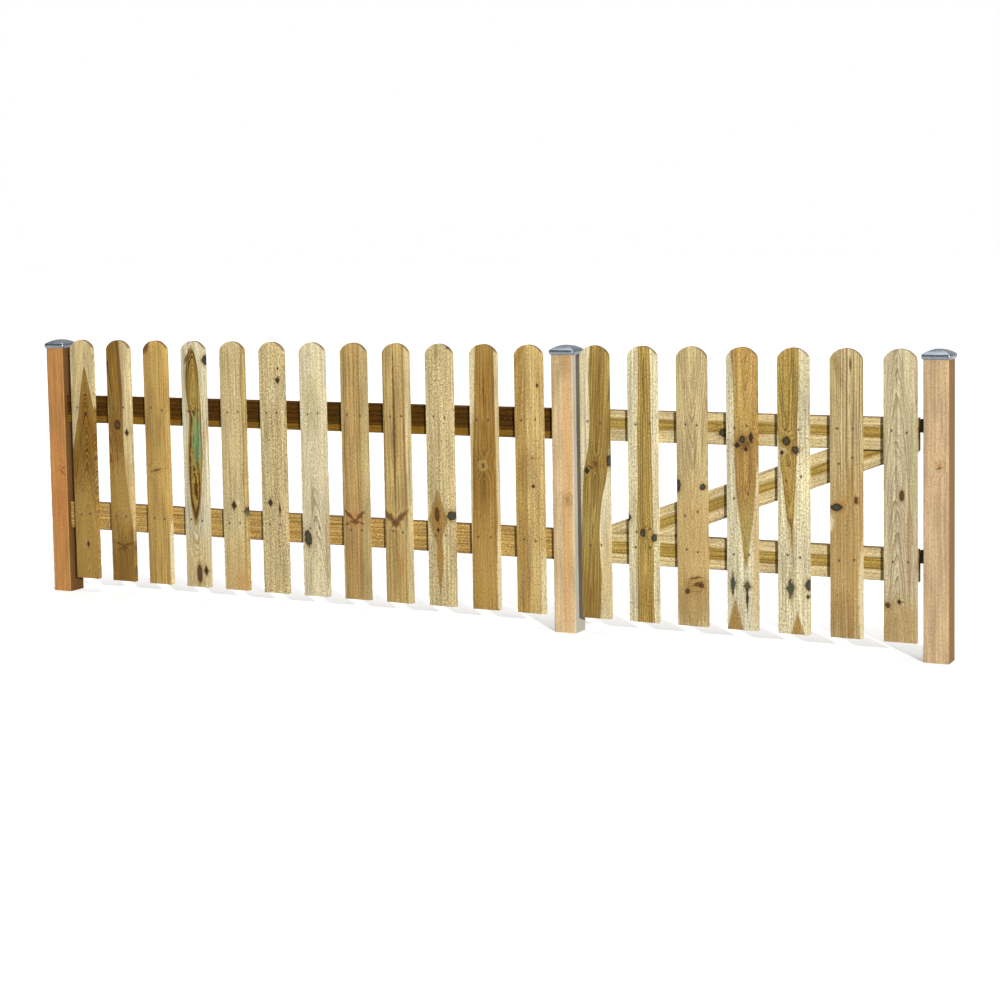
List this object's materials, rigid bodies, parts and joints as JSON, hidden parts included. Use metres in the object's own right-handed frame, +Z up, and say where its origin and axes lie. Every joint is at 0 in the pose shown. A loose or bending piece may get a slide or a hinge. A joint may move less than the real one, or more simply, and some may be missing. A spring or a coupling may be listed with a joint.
{
  "type": "wooden picket garden gate with posts and a fence bay",
  "caption": "Low picket gate leaf with a diagonal brace, hung on strap hinges between capped square posts, with one matching bay of picket fence.",
  "frame": {"origin": "middle of the middle post's foot, on the ground", "axes": "+X along the fence towards the gate, +Y to the back where the rails and hinges are, +Z up"},
  "size_m": [3.05, 0.08, 0.85],
  "materials": {
    "treated_pine": "pressure-treated sawn pine with a green-brown tint",
    "post_timber": "planed reddish softwood",
    "zinc_cap": "pressed galvanised sheet",
    "black_hinge_steel": "black coated steel"
  },
  "bodies": {
    "posts_and_fence": {"left_post": "post_timber", "middle_post": "post_timber", "hinge_post": "post_timber", "left_post_cap": "zinc_cap", "middle_post_cap": "zinc_cap", "hinge_post_cap": "zinc_cap", "fence_panel": "treated_pine", "upper_hinge_pintle": "black_hinge_steel", "lower_hinge_pintle": "black_hinge_steel"},
    "gate_leaf": {"gate_picket_1": "treated_pine", "gate_picket_2": "treated_pine", "gate_picket_3": "treated_pine", "gate_picket_4": "treated_pine", "gate_picket_5": "treated_pine", "gate_picket_6": "treated_pine", "gate_picket_7": "treated_pine", "gate_upper_rail": "treated_pine", "gate_lower_rail": "treated_pine", "gate_brace": "treated_pine", "upper_hinge_strap": "black_hinge_steel", "lower_hinge_strap": "black_hinge_steel"}
  },
  "joints": [
    {"name": "gate_swing", "type": "hinge", "parent": "posts_and_fence", "child": "gate_leaf", "pos_m": [1.0497, 0.0183, 0], "axis": [0, 0, -1], "range_deg": [0, 110]}
  ]
}
